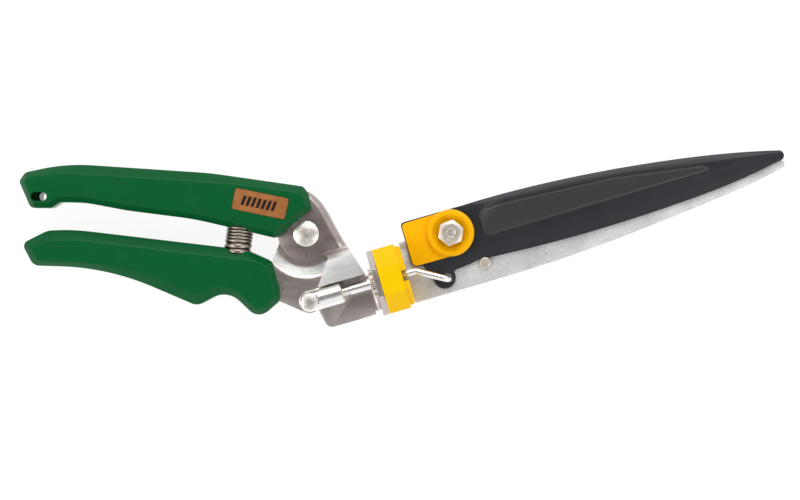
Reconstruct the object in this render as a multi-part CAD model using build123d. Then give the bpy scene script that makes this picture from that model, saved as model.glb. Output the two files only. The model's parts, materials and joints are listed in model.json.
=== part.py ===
from build123d import *
import math
import os

# Grass shears with a swivelling cutting head, lying flat with the grips closed.
#
# Handle frame: the origin is the centre of the handle pivot, +X runs from the grips towards the
# blade tips, +Y towards the upper grip and +Z out of the tool's front. z = 0 is the plane of the pull
# rod. Head frame: u runs along the head axis, v is square to it and w is the handle frame's z; its
# origin is on the head axis at the rear face of the swivel flange. At the end every piece is moved
# so that the origin is the centre of the underside of the whole tool. All sizes are millimetres.

# ---- Layout of the mechanism ------------------------------------------------------------------
HEAD_ANGLE = 16.0          # head axis above the handles' long axis, degrees
CRANK_RADIUS = 29.2        # handle pivot to clevis rivet
CRANK_LAG = 12.7           # clevis rivet behind the square to the head axis when closed, degrees
ROD_OFFSET = 0.35          # pull rod above the head axis when closed
FLANGE_AHEAD = 22.7        # rear face of the swivel flange ahead of the handle pivot, along the head
BOLT_U = 37.4              # blade bolt ahead of the flange's rear face
BOLT_V = 12.0              # blade bolt above the head axis
EAR_U = -6.3               # ear hole from the blade bolt, along the head
EAR_V = -18.7              # ear hole from the blade bolt, across the head

# ---- Grips ------------------------------------------------------------------------------------
HANDLE_LENGTH = 123.0      # handle pivot to the tail of the grips
GRIP_FRONT = 7.5           # front face of both grips
GRIP_BACK = -12.5          # back face of both grips
BEVEL_WIDTH = 2.8          # bevel round the faces of both grips, measured on the face
BEVEL_DEPTH = 3.4          # how far the bevels reach down the sides
EDGE_ROUND = 0.7           # rounding of the bevels' two edges
HANG_HOLE_RADIUS = 1.9
HANG_SLOT_LENGTH = 6.9     # elongated mouth of the hang hole
HANG_SLOT_DEPTH = 6.0
LABEL_LENGTH = 23.3
LABEL_HEIGHT = 9.2
LABEL_THICKNESS = 0.6
LABEL_RECESS = 0.9         # depth of the window that the label lies in
LABEL_GAP = 0.15           # gap round the label

# ---- Handle frames ----------------------------------------------------------------------------
UPPER_SHEET = 2.4          # sheet of the upper frame and its swivel flange
LOWER_SHEET = 2.0          # sheet of the lower frame
SLIDE_GAP = 0.1            # gap between flat faces that slide on each other
DISC_RADIUS = 12.1         # round eye of the upper frame about the pivot
EYE_RADIUS = 10.0          # round eye of the lower frame, inside the upper frame's spine
DISC_FRONT = -0.9          # front face of the upper frame's eye
BRACKET_GAP = 0.7          # gap between the lower frame and the bracket in front of it
SHOULDER_RADIUS = 19.7     # where the lower frame's dish reaches its raised plate
DISH_RADIUS = 14.4         # where the lower frame's dish starts to rise
DISH_BEND = 1.6            # bend radius of the dish
SPINE_ROUND = 3.2          # outside rounding of the bend between front cheek and spine
BRACKET_ROUND = 1.0        # outside rounding of the bend between bracket and spine
FOOT_ROUND = 3.5           # rounded corner of the foot under the pull rod
TANG_END = -60.0           # how far both frames reach into the grips, from the handle pivot
ARM_RADIUS = 5.0           # round end of the lower frame's arm, round the clevis rivet
FLANGE_BEND = 2.6          # inside radius of the bend from the back cheek to the swivel flange
PIVOT_SHANK = 3.2          # radius of the pivot rivet's shank
PIVOT_HEAD = 5.5           # radius of the pivot rivet's heads
PIVOT_HEAD_HEIGHT = 1.5
RIVET_EDGE = 0.5           # height of the rivets' rims under their domes
SPACER_RADIUS = 8.0        # washer that fills the space between lower frame and back cheek
SPACER_THICKNESS = 3.1
RUNNING_GAP = 0.05         # radial clearance of every pin and shaft that turns in its hole

# ---- Handle spring ----------------------------------------------------------------------------
SPRING_X = -29.0           # spring axis from the pivot
SPRING_Y = -2.3            # middle of the gap that the spring fills
SPRING_Z = -0.4            # spring axis behind the pull rod
SPRING_LEAN = 7.0          # the spring's top leans towards the pivot, degrees
SPRING_RADIUS = 5.3        # to the middle of the wire
SPRING_WIRE = 0.62         # radius of the wire
SPRING_LENGTH = 15.4
SPRING_PITCH = 2.1
SPRING_SIDE_GAP = 0.5      # between the spring and its pockets
SPRING_END_GAP = 0.2       # between the spring's ends and the pocket floors
PEG_GAP = 0.6              # between the spring's inside and the pegs that keep it in place
PEG_LENGTH = 3.4

# ---- Pull rod and clevis ----------------------------------------------------------------------
CLEVIS_RADIUS = 4.75
CLEVIS_REACH = 14.8        # rivet to the clevis's front end
CLEVIS_SLOT_DEPTH = 8.1    # rivet to the bottom of the slot
CLEVIS_FLAT = 4.3          # flats that the rivet's heads bear on
CLEVIS_RIVET = 2.0         # radius of the clevis rivet's shank
CLEVIS_HEAD = 3.6          # radius of its heads
CLEVIS_HEAD_HEIGHT = 1.0
ROD_RADIUS = 2.25
ROD_INSERT = 5.6           # length of rod inside the clevis
THREAD_PITCH = 0.8
THREAD_LENGTH = 3.2        # thread that shows in front of the clevis
THREAD_DEPTH = 0.35
ROD_FRONT = 4.0            # front end of the thick rod, from the flange's rear face
WIRE_RADIUS = 1.5
WIRE_SOCKET = 6.0          # length of wire brazed into the rod
WIRE_BEND_U = 18.2         # where the wire turns down to the ear
WIRE_BEND_RADIUS = 4.5
HOOK_BEND_RADIUS = 2.4
HOOK_CLEARANCE = 0.6       # the wire hangs this loose in the ear hole
HOOK_REST_U = -0.1         # the closed hook's place from the middle of its hole, along the head
HOOK_REST_V = -0.155       # and across the head

# ---- Swivel -----------------------------------------------------------------------------------
FLANGE_WIDTH = 28.4        # across the flats of the octagonal flange and collar
TUBE_RADIUS = 3.9          # outside of the hollow rivet that the head turns on
TUBE_BORE = 3.1            # inside of the hollow rivet
TUBE_LIP = 1.0             # thickness of its flared front lip
STAR_RADIUS = 6.4
STAR_THICKNESS = 1.4
STAR_TEETH = 12
STAR_TOOTH_WIDTH = 1.9
STAR_TOOTH_LENGTH = 1.2
TUBE_FLARE = 1.5           # how much the hollow rivet's front lip is wider than its outside
TUBE_REAR = 0.5            # how far it stands out behind the toothed washer
SWIVEL_SPRING_SPACE = 1.4  # room for the spring washer between flange and blade foot
SWIVEL_SPRING_RADIUS = 8.0
SWIVEL_SPRING_SHEET = 0.5
COLLAR_GAP = 0.25          # gap between the flange and the collar
COLLAR_LENGTH = 9.6        # full-size octagon of the collar
COLLAR_NOSE = 2.3          # length of the smaller nose in front of it
COLLAR_STEP = 1.2          # how much the nose is smaller all round
COLLAR_EDGE = 0.8          # chamfer of the nose's front edges
COLLAR_PLAY = 0.5          # room in the collar round the moving parts

# ---- Blades -----------------------------------------------------------------------------------
BLADE_SHEET = 2.0          # sheet of both blades
BLADE_REACH = 148.0        # blade bolt to the blade tips
FIXED_FRONT = -5.6         # front face of the fixed blade
TANG_WIDTH = 27.1          # width of the fixed blade's tang
TANG_LOW = 13.05           # its lower edge below the head axis
FOOT_WIDTH = FLANGE_WIDTH - 5.4    # width of the blade foot and neck inside the collar
COVER_SHEET = 1.4          # flat part of the pivot cover
COVER_HALF = 9.8           # half the width of the flat part
BOSS_RADIUS = 10.2         # round boss of the pivot cover
COVER_TAIL = 19.4          # blade bolt to the cover's rear edge
COVER_BOSS = 2.9           # how far the boss stands in front of the flat part
COVER_MARGIN = 0.4         # how much the blade shows round the cover
BOLT_RADIUS = 3.0          # M6
NUT_FLATS = 10.0           # across flats, nut and bolt head
NUT_HEIGHT = 5.0
NUT_COLLAR = 4.2           # radius of the round collar that holds the nylon ring
NUT_COLLAR_HEIGHT = 1.2
NUT_TURN = 5.0             # how far the nut is turned from the head axis, degrees
NUT_CORNER_SLOPE = 30.0    # slope of the turned corners, degrees
NYLON_WALL = 0.7
NYLON_SEAT = 0.6           # how deep the nylon ring sits in the hexagon
NYLON_LIP = 0.3            # how far the nut's collar stands over it
BOLT_HEAD_HEIGHT = 4.0
BOLT_CUP = 0.8             # depth of the dished end of the bolt
BUSH_WALL = 1.2
DISC_SPRING_RADIUS = 4.9
DISC_SPRING_SHEET = 0.5
DISC_SPRING_SPACE = 0.9    # height of the dished spring washer under the nut
NUT_WELL_GAP = 0.4         # gap between the nut's corners and the well in the cover
NUT_WELL_DEPTH = 1.9       # depth of that well from the top of the boss
WELL_MOUTH = 8.0           # radius of the well's flared mouth
WELL_FLARE = 1.3           # depth of the flare
BOSS_ROUND = 1.4           # rounding of the boss's edge
STOP_U = 10.8              # stop pin from the blade bolt, along the head
STOP_V = -16.5             # stop pin from the blade bolt, across the head
STOP_RADIUS = 2.4
STOP_HEIGHT = 2.6          # how far the stop pin stands in front of the fixed blade
STOP_GAP = 0.12            # gap between the pin and the notch of the closed blade
PANEL_RAISE = 0.7          # raised panel of the moving blade
PANEL_SLOPE = 0.9          # width of the slope round it
BACK_BEVEL = 2.4           # width of the bevel along the moving blade's back
BACK_BEVEL_DEPTH = 0.8
EAR_RADIUS = 4.8

# ---- Derived levels and places ----------------------------------------------------------------
DISC_BACK = DISC_FRONT - UPPER_SHEET
EYE_FRONT = DISC_BACK - SLIDE_GAP
EYE_BACK = EYE_FRONT - LOWER_SHEET
CHEEK_FRONT = EYE_BACK - 2 * SLIDE_GAP - SPACER_THICKNESS
CHEEK_BACK = CHEEK_FRONT - UPPER_SHEET
PLATE_FRONT = LOWER_SHEET / 2
PLATE_BACK = -LOWER_SHEET / 2
BRACKET_BACK = PLATE_FRONT + BRACKET_GAP
BRACKET_FRONT = BRACKET_BACK + UPPER_SHEET
HEAD_DROP = CRANK_RADIUS * math.cos(math.radians(CRANK_LAG)) + ROD_OFFSET
ALONG = Vector(math.cos(math.radians(HEAD_ANGLE)), math.sin(math.radians(HEAD_ANGLE)), 0)
ACROSS = Vector(-math.sin(math.radians(HEAD_ANGLE)), math.cos(math.radians(HEAD_ANGLE)), 0)
HEAD_ORIGIN = ALONG * FLANGE_AHEAD - ACROSS * HEAD_DROP
HEAD = Location(tuple(HEAD_ORIGIN), (0, 0, HEAD_ANGLE))
PIVOT_U = -FLANGE_AHEAD
PIVOT_V = HEAD_DROP
RIVET_U = PIVOT_U - CRANK_RADIUS * math.sin(math.radians(CRANK_LAG))
RIVET_V = ROD_OFFSET
CLEVIS_PIVOT = HEAD_ORIGIN + ALONG * RIVET_U + ACROSS * RIVET_V
FIXED_BACK = FIXED_FRONT - BLADE_SHEET
MOVING_BACK = FIXED_FRONT + SLIDE_GAP
MOVING_FRONT = MOVING_BACK + BLADE_SHEET
COVER_TOP = MOVING_FRONT + COVER_SHEET
FOOT_BACK = UPPER_SHEET + SLIDE_GAP + SWIVEL_SPRING_SPACE
FOOT_FRONT = FOOT_BACK + BLADE_SHEET
COLLAR_BACK = UPPER_SHEET + COLLAR_GAP
COLLAR_SHOULDER = COLLAR_BACK + COLLAR_LENGTH
COLLAR_FRONT = COLLAR_SHOULDER + COLLAR_NOSE
BUSH_RADIUS = BOLT_RADIUS + BUSH_WALL
WELL_FLOOR = COVER_TOP + COVER_BOSS - NUT_WELL_DEPTH
NUT_BACK = WELL_FLOOR + SLIDE_GAP + DISC_SPRING_SPACE
NUT_FRONT = NUT_BACK + NUT_HEIGHT
NUT_CORNER = NUT_FLATS / math.sqrt(3)
NYLON_BACK = NUT_FRONT - NYLON_SEAT
NYLON_FRONT = NUT_FRONT + NUT_COLLAR_HEIGHT - NYLON_LIP


def rounded_outline(corners):
    """Flat outline through (x, y, radius) corners, listed anticlockwise."""
    face = make_face(Polyline(*[corner[:2] for corner in corners], close=True))
    for corner in corners:
        if corner[2] > 0:
            face = fillet(face.vertices().sort_by_distance(corner[:2])[0], corner[2])
    return face


def inset_corners(corners, inset):
    """The same corners with every side moved inwards by its share of inset, and radii to match."""
    count = len(corners)
    moved = []
    for index in range(count):
        before = Vector(*corners[index - 1][:2])
        here = Vector(*corners[index][:2])
        after = Vector(*corners[(index + 1) % count][:2])
        arriving = (here - before).normalized()
        leaving = (after - here).normalized()
        turn = arriving.cross(leaving).Z
        in_before = inset * corners[index - 1][3]
        in_after = inset * corners[index][3]
        place = here - arriving * (in_after / turn) + leaving * (in_before / turn)
        radius = corners[index][2] - math.copysign((in_before + in_after) / 2, turn)
        moved.append((place.X, place.Y, max(radius, 0.3)))
    return moved


def slab(face, low, high):
    """A flat outline made solid between two levels."""
    return extrude(Pos(0, 0, low) * face, high - low)


def rod_between(radius, low, high):
    """A round bar along Z on the origin."""
    return slab(Circle(radius), low, high)


def along_u(shape):
    """Turns a shape that was drawn along Z to lie along u, with its X across and its Y to the front."""
    return Plane(origin=(0, 0, 0), x_dir=(0, 1, 0), z_dir=(1, 0, 0)).location * shape


def octagon(width):
    """Octagon by its width across flats, with a flat to the front."""
    return RegularPolygon(width / 2, 8, major_radius=False, rotation=22.5)


# ---- Grips ------------------------------------------------------------------------------------
TAIL = -HANDLE_LENGTH
# Corners are (x, y, radius, share): share of BEVEL_WIDTH on the side from this corner to the next one.
UPPER_GRIP_CORNERS = [
    (TAIL - 0.2, 22.6, 2.2, 0.8),
    (TAIL + 4.8, 11.1, 2.6, 0.8),
    (TAIL + 13.7, 11.1, 2.6, 0.9),
    (TAIL + 17.4, 13.6, 2.6, 0.9),
    (TAIL + 28.0, 13.4, 50.0, 0.9),
    (-77.0, 10.0, 80.0, 0.9),
    (-48.0, 6.3, 120.0, 0.9),
    (-12.9, -1.9, 2.6, 1.0),
    (2.7, 10.7, 2.0, 1.0),
    (1.1, 17.4, 4.0, 1.0),
    (-1.2, 20.4, 2.0, 1.1),
    (-41.0, 26.1, 150.0, 1.45),
    (TAIL + 20.0, 30.2, 80.0, 1.0),
    (TAIL + 2.4, 26.4, 3.4, 0.8),
]
LOWER_GRIP_CORNERS = [
    (TAIL + 1.0, -4.2, 2.6, 1.0),
    (TAIL + 5.9, -13.7, 4.4, 0.75),
    (-85.0, -14.6, 110.0, 1.5),
    (-46.6, -31.0, 5.2, 1.5),
    (-33.6, -24.1, 9.5, 0.9),
    (-20.2, -36.7, 5.6, 0.9),
    (-10.7, -28.5, 3.6, 0.9),
    (-11.4, -22.8, 8.0, 0.9),
    (-14.4, -11.9, 2.2, 1.0),
    (-25.5, -7.0, 25.0, 1.5),
    (TAIL + 23.0, 1.8, 80.0, 1.6),
    (TAIL + 12.0, 1.4, 10.0, 1.4),
]


def bevel_steps():
    """Levels and insets from the side wall over a bevel with rounded edges to the face."""
    slope = math.atan2(BEVEL_DEPTH, BEVEL_WIDTH)
    steps = []
    for index in range(4):
        angle = (math.pi / 2 - slope) * index / 3
        steps.append((EDGE_ROUND * math.sin(angle), EDGE_ROUND * (1 - math.cos(angle))))
    rise = BEVEL_DEPTH + EDGE_ROUND * math.tan((math.pi / 2 - slope) / 2)
    reach = BEVEL_WIDTH + EDGE_ROUND * math.tan(slope / 2)
    for index in range(4):
        angle = slope * (1 - index / 3)
        steps.append((rise - EDGE_ROUND * (1 - math.cos(angle)), reach - EDGE_ROUND * math.sin(angle)))
    return rise, steps


def bevelled_grip(corners):
    """A grip's full body: a slab with a rounded bevel round its front and its back face."""
    rise, steps = bevel_steps()
    sections = []
    for climb, inset in reversed(steps):
        sections.append(Pos(0, 0, GRIP_BACK + rise - climb) * rounded_outline(inset_corners(corners, inset)))
    for climb, inset in steps:
        sections.append(Pos(0, 0, GRIP_FRONT - rise + climb) * rounded_outline(inset_corners(corners, inset)))
    return loft(sections, ruled=True)


def spring_place():
    """Frame of the handle spring: its Z runs up the spring's axis from the middle of the gap."""
    lean = math.radians(SPRING_LEAN)
    return Plane(origin=(SPRING_X, SPRING_Y, SPRING_Z), x_dir=(0, 0, 1),
                 z_dir=(math.sin(lean), math.cos(lean), 0))


def spring_pocket(end):
    """Ring-shaped pocket for one end of the spring; end is 1 for the upper grip and -1 for the lower."""
    length = SPRING_LENGTH / 2 + SPRING_WIRE + SPRING_END_GAP
    outer = SPRING_RADIUS + SPRING_WIRE + SPRING_SIDE_GAP
    peg = SPRING_RADIUS - SPRING_WIRE - PEG_GAP
    peg_start = length - PEG_LENGTH
    well = rod_between(outer, 0, length) - rod_between(peg, peg_start, length)
    if end < 0:
        well = mirror(well, Plane.XY)
    return spring_place().location * well


def make_upper_grip(frame):
    body = bevelled_grip(UPPER_GRIP_CORNERS)
    hole_x, hole_y = HANG_HOLE
    slot_middle = hole_x - (HANG_SLOT_LENGTH / 2 - HANG_HOLE_RADIUS)
    slot = SlotOverall(HANG_SLOT_LENGTH, 2 * HANG_HOLE_RADIUS)
    body -= Pos(slot_middle, hole_y, 0) * slab(slot, GRIP_FRONT - HANG_SLOT_DEPTH, GRIP_FRONT + 1)
    body -= Pos(hole_x, hole_y, 0) * rod_between(HANG_HOLE_RADIUS, GRIP_BACK - 1, GRIP_FRONT + 1)
    window = RectangleRounded(LABEL_LENGTH + 2 * LABEL_GAP, LABEL_HEIGHT + 2 * LABEL_GAP, 1.0)
    body -= LABEL * slab(window, GRIP_FRONT - LABEL_RECESS, GRIP_FRONT + 1)
    body -= rod_between(DISC_RADIUS + 0.6, CHEEK_FRONT, EYE_FRONT + 0.2)
    body -= spring_pocket(1)
    return body - frame


def make_lower_grip(frame):
    body = bevelled_grip(LOWER_GRIP_CORNERS)
    body -= spring_pocket(-1)
    return body - frame


HANG_HOLE = (TAIL + 10.2, 16.0)
LABEL = Pos(-19.4, 12.9, 0) * Rot(0, 0, -11.6)


def make_label_plate():
    low = GRIP_FRONT - LABEL_RECESS
    return LABEL * slab(RectangleRounded(LABEL_LENGTH, LABEL_HEIGHT, 0.9), low, low + LABEL_THICKNESS)


# ---- Handle frames ----------------------------------------------------------------------------
def to_handle(u, v):
    """A point of the head frame in the handle frame."""
    place = HEAD_ORIGIN + ALONG * u + ACROSS * v
    return place.X, place.Y


def to_head(x, y):
    """A point of the handle frame in the head frame."""
    place = Vector(x, y, 0) - HEAD_ORIGIN
    return place.dot(ALONG), place.dot(ACROSS)


SPINE_TOP = (-16.4, 45.7)
BRACKET_SIDE = -3.2        # outer edge of the bracket's foot, from the flange's rear face


def spine_curve(shift):
    """Outer side of the upper frame's spine in the head frame, from the foot up, moved inwards."""
    beside_eye = (PIVOT_U + DISC_RADIUS + 0.4, PIVOT_V + 2.2)
    spots = [(BRACKET_SIDE, BRACKET_FOOT), (-5.7, 13.6), (-8.3, 22.5), beside_eye, (-11.6, 37.0),
             (-13.8, 42.3), SPINE_TOP]
    return Spline(*[(u - shift, v) for u, v in spots])


def spine_rounding(radius, top, low, high):
    """What is cut away to round the spine's outer edge at the level top, from low to high along v."""
    sections = []
    for index in range(5):
        angle = math.radians(90) * index / 4
        shift = radius * (1 - math.cos(angle))
        curve = spine_curve(shift)
        outside = make_face(curve + Polyline(curve @ 1, (30, SPINE_TOP[1]), (30, BRACKET_FOOT), curve @ 0))
        sections.append(Pos(0, 0, top - radius + radius * math.sin(angle)) * outside)
    stretch = Pos(0, (low + high) / 2, top) * Box(100, high - low, 3 * radius)
    return loft(sections, ruled=True) & stretch


BRACKET_FOOT = CLEVIS_RADIUS + ROD_OFFSET + 0.1      # lower edge of the bracket, just above the clevis
RAMP_TOP = PIVOT_V - 9.6                             # ramp from the eye's level up to the bracket
RAMP_FOOT = PIVOT_V - 13.6


def cheek_outline():
    """Upper frame's front cheek in the head frame: eye, spine side, bracket, and tang in the grip."""
    eye = Pos(PIVOT_U, PIVOT_V, 0) * Circle(DISC_RADIUS)
    wing = make_face(spine_curve(0) + Polyline(SPINE_TOP, (PIVOT_U, PIVOT_V + 8), (PIVOT_U + 4, PIVOT_V - 9),
                                               (-16.3, RAMP_FOOT + 1), (-24.0, BRACKET_FOOT),
                                               (BRACKET_SIDE, BRACKET_FOOT)))
    tang = make_face(Polyline(to_head(TANG_END, 14.5), to_head(-9, 5.5), (PIVOT_U, PIVOT_V),
                              (-14.5, PIVOT_V + 8), SPINE_TOP, to_head(TANG_END, 21.5), close=True))
    return eye + wing + tang


def make_upper_frame():
    outline = cheek_outline()
    above = Pos(0, RAMP_TOP + 50, 0) * Rectangle(260, 100)
    below = Pos(0, RAMP_FOOT - 50, 0) * Rectangle(60, 100)
    eye = Pos(PIVOT_U, PIVOT_V, 0) * Circle(DISC_RADIUS)
    frame = slab((outline & above) + eye, DISC_BACK, DISC_FRONT)
    frame += slab((outline & below) - eye, BRACKET_BACK, BRACKET_FRONT)
    ramp = make_face(Polyline((RAMP_TOP + 0.5, DISC_BACK), (RAMP_TOP + 0.5, DISC_FRONT),
                              (RAMP_TOP - 0.9, DISC_FRONT), (RAMP_FOOT, BRACKET_FRONT),
                              (RAMP_FOOT - 0.5, BRACKET_FRONT), (RAMP_FOOT - 0.5, BRACKET_BACK),
                              (RAMP_FOOT + 0.9, BRACKET_BACK), (RAMP_TOP, DISC_BACK), close=True))
    ramp = extrude(Plane(origin=(0, 0, 0), x_dir=(0, 1, 0), z_dir=(1, 0, 0)) * ramp, 60, both=True)
    frame += ramp & slab(outline - eye, CHEEK_BACK, BRACKET_FRONT)
    # Back cheek: behind the lower frame, with its foot under the pull rod.
    foot_left = -25.0
    foot_low = -FLANGE_WIDTH / 2 + 1.0
    back = make_face(spine_curve(0) + Polyline(SPINE_TOP, to_head(TANG_END, 21.5), to_head(TANG_END, 14.5),
                                               to_head(-9, 5.5), (foot_left - 5, 12), (foot_left, foot_low),
                                               (BRACKET_SIDE, foot_low), (BRACKET_SIDE, BRACKET_FOOT)))
    back += Pos(PIVOT_U, PIVOT_V, 0) * Circle(DISC_RADIUS)
    back = fillet(back.vertices().sort_by_distance((foot_left, foot_low))[0], FOOT_ROUND)
    frame += slab(back, CHEEK_BACK, CHEEK_FRONT)
    # Spine: the wall that joins the two cheeks along the frame's outer edge.
    wall = make_face(spine_curve(0) + Line(SPINE_TOP, (SPINE_TOP[0] - UPPER_SHEET, SPINE_TOP[1]))
                     + spine_curve(UPPER_SHEET)
                     + Line((BRACKET_SIDE - UPPER_SHEET, BRACKET_FOOT), (BRACKET_SIDE, BRACKET_FOOT)))
    frame += slab(wall & above, CHEEK_BACK, DISC_FRONT)
    frame += slab(wall - (Pos(0, RAMP_FOOT + 50, 0) * Rectangle(260, 100)), CHEEK_BACK, BRACKET_FRONT)
    frame += slab(wall, CHEEK_BACK, DISC_FRONT)
    frame -= spine_rounding(SPINE_ROUND, DISC_FRONT, RAMP_TOP, SPINE_TOP[1])
    frame -= spine_rounding(BRACKET_ROUND, BRACKET_FRONT, BRACKET_FOOT, RAMP_FOOT)
    frame += make_swivel_flange()
    frame -= Pos(PIVOT_U, PIVOT_V, 0) * rod_between(PIVOT_SHANK, CHEEK_BACK - 1, DISC_FRONT + 1)
    return HEAD * frame


def make_swivel_flange():
    """Octagonal end of the back cheek, bent up square to the head axis, with the swivel's hole."""
    flange = along_u(slab(octagon(FLANGE_WIDTH), 0, UPPER_SHEET))
    flange &= Pos(0, 0, CHEEK_BACK + 100) * Box(100, 100, 200)
    bend_outer = FLANGE_BEND + UPPER_SHEET
    bend = make_face(Polyline((-FLANGE_BEND - 1, CHEEK_BACK), (UPPER_SHEET, CHEEK_BACK), (UPPER_SHEET, 0),
                              (0, 0), (0, CHEEK_FRONT), (-FLANGE_BEND - 1, CHEEK_FRONT), close=True))
    bend = fillet(bend.vertices().sort_by_distance((UPPER_SHEET, CHEEK_BACK))[0], bend_outer)
    bend = fillet(bend.vertices().sort_by_distance((0, CHEEK_FRONT))[0], FLANGE_BEND)
    low, high = -FLANGE_WIDTH / 2 + 2.6, BRACKET_FOOT - 1.0
    band = Pos(0, high, 0) * extrude(Plane.XZ * bend, high - low)
    corner = Pos(UPPER_SHEET, 0, CHEEK_BACK) * Box(2 * bend_outer, 100, 2 * bend_outer)
    flange = (flange - corner) + band
    return flange - along_u(rod_between(TUBE_RADIUS + RUNNING_GAP, -5, 5))


def make_lower_frame():
    """Dished plate: its eye lies between the upper frame's cheeks and its arm ends in the clevis."""
    rivet_x, rivet_y = to_handle(RIVET_U, RIVET_V)
    dish = make_face(Polyline((0, EYE_BACK), (DISH_RADIUS, EYE_BACK), (SHOULDER_RADIUS, PLATE_BACK),
                              (100, PLATE_BACK), (100, PLATE_FRONT), (SHOULDER_RADIUS - 1, PLATE_FRONT),
                              (DISH_RADIUS - 1, EYE_FRONT), (0, EYE_FRONT), close=True))
    for r, z in ((DISH_RADIUS, EYE_BACK), (SHOULDER_RADIUS - 1, PLATE_FRONT)):
        dish = fillet(dish.vertices().sort_by_distance((r, z))[0], DISH_BEND + LOWER_SHEET)
    for r, z in ((DISH_RADIUS - 1, EYE_FRONT), (SHOULDER_RADIUS, PLATE_BACK)):
        dish = fillet(dish.vertices().sort_by_distance((r, z))[0], DISH_BEND)
    dish = revolve(Plane.XZ * dish, Axis.Z)
    outline = make_face(Polyline((-EYE_RADIUS, 0), (-14.2, -10.6), (-18, -13.2), (TANG_END, -12.5),
                                 (TANG_END, -19), (-30, -21), (-14, -27.9), (rivet_x - 2.6, rivet_y - 4.4),
                                 (rivet_x, rivet_y), (rivet_x + ARM_RADIUS, rivet_y), (EYE_RADIUS, -1.5),
                                 (0, 0), close=True))
    outline += Circle(EYE_RADIUS)
    outline += Pos(rivet_x, rivet_y) * Circle(ARM_RADIUS)
    plate = dish & slab(outline, EYE_BACK - 1, PLATE_FRONT + 1)
    plate -= rod_between(PIVOT_SHANK + RUNNING_GAP, EYE_BACK - 1, PLATE_FRONT + 1)
    return plate - Pos(rivet_x, rivet_y) * rod_between(CLEVIS_RIVET + RUNNING_GAP, -5, 5)


def domed_rivet(shank, head, dome, back, front):
    """A rivet along Z: its shank from back to front, and a low domed head at each end."""
    rise = dome - RIVET_EDGE
    ball = (head ** 2 + rise ** 2) / (2 * rise)
    half_angle = math.asin(head / ball) / 2
    middle = (ball * math.sin(half_angle), dome - ball + ball * math.cos(half_angle))
    half = make_face(Line((0, back - dome), (0, front + dome))
                     + ThreePointArc((0, front + dome), (middle[0], front + middle[1]),
                                     (head, front + RIVET_EDGE))
                     + Polyline((head, front + RIVET_EDGE), (head, front), (shank, front), (shank, back),
                                (head, back), (head, back - RIVET_EDGE))
                     + ThreePointArc((head, back - RIVET_EDGE), (middle[0], back - middle[1]),
                                     (0, back - dome)))
    return revolve(Plane.XZ * half, Axis.Z)


def make_pivot_rivet():
    """Domed steel rivet through both frames."""
    return domed_rivet(PIVOT_SHANK, PIVOT_HEAD, PIVOT_HEAD_HEIGHT, CHEEK_BACK, DISC_FRONT)


def make_pivot_spacer():
    """Washer between the lower frame and the back cheek."""
    ring = Circle(SPACER_RADIUS) - Circle(PIVOT_SHANK)
    return slab(ring, CHEEK_FRONT, CHEEK_FRONT + SPACER_THICKNESS + SLIDE_GAP)


def make_handle_spring():
    """Compression spring between the grips."""
    path = Helix(SPRING_PITCH, SPRING_LENGTH, SPRING_RADIUS)
    start = Plane(origin=path @ 0, z_dir=path % 0)
    coil = sweep(start * Circle(SPRING_WIRE), path, is_frenet=True)
    return spring_place().location * (Pos(0, 0, -SPRING_LENGTH / 2) * coil)


# ---- Pull rod and clevis ----------------------------------------------------------------------
def on_rod(shape):
    """Places a shape drawn along Z on the pull rod's axis, with its origin at the flange."""
    return HEAD * (Pos(0, ROD_OFFSET, 0) * along_u(shape))


def make_clevis():
    body = rod_between(CLEVIS_RADIUS, RIVET_U, RIVET_U + CLEVIS_REACH)
    body = chamfer(body.edges().sort_by(Axis.Z)[-1], 0.6)
    body += Pos(0, 0, RIVET_U) * Sphere(CLEVIS_RADIUS)
    body = on_rod(body)
    rivet = Pos(CLEVIS_PIVOT.X, CLEVIS_PIVOT.Y, 0)
    slot_half = LOWER_SHEET / 2 + SLIDE_GAP
    slot = Pos(CLEVIS_SLOT_DEPTH - 20, 0, 0) * Box(40, 20, 2 * slot_half)
    body -= rivet * Rot(0, 0, HEAD_ANGLE) * slot
    for side in (1, -1):
        flat = Pos(0, 0, side * (CLEVIS_FLAT + 5)) * Box(2 * CLEVIS_HEAD + 0.6, 30, 10)
        body -= rivet * Rot(0, 0, HEAD_ANGLE) * flat
    body -= rivet * rod_between(CLEVIS_RIVET, -10, 10)
    socket_low = RIVET_U + CLEVIS_REACH - ROD_INSERT - 0.2
    return body - on_rod(rod_between(ROD_RADIUS + RUNNING_GAP, socket_low, 0))


def make_clevis_rivet():
    rivet = domed_rivet(CLEVIS_RIVET, CLEVIS_HEAD, CLEVIS_HEAD_HEIGHT, -CLEVIS_FLAT, CLEVIS_FLAT)
    return Pos(CLEVIS_PIVOT.X, CLEVIS_PIVOT.Y, 0) * rivet


def make_pull_rod():
    """Steel rod, threaded at the clevis and bored at the front for the wire."""
    back = RIVET_U + CLEVIS_REACH
    rod = rod_between(ROD_RADIUS, back - ROD_INSERT, ROD_FRONT)
    for turn in range(round(THREAD_LENGTH / THREAD_PITCH)):
        middle = back + THREAD_PITCH * (turn + 0.5)
        groove = make_face(Polyline((ROD_RADIUS + 1, middle - 0.45), (ROD_RADIUS + 1, middle + 0.45),
                                    (ROD_RADIUS, middle + 0.35), (ROD_RADIUS - THREAD_DEPTH, middle),
                                    (ROD_RADIUS, middle - 0.35), close=True))
        rod -= revolve(Plane.XZ * groove, Axis.Z)
    rod -= rod_between(WIRE_RADIUS, ROD_FRONT - WIRE_SOCKET, ROD_FRONT + 1)
    rod = chamfer(rod.edges().filter_by(GeomType.CIRCLE).sort_by(Axis.Z)[-1], 0.3)
    return on_rod(rod)


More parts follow.
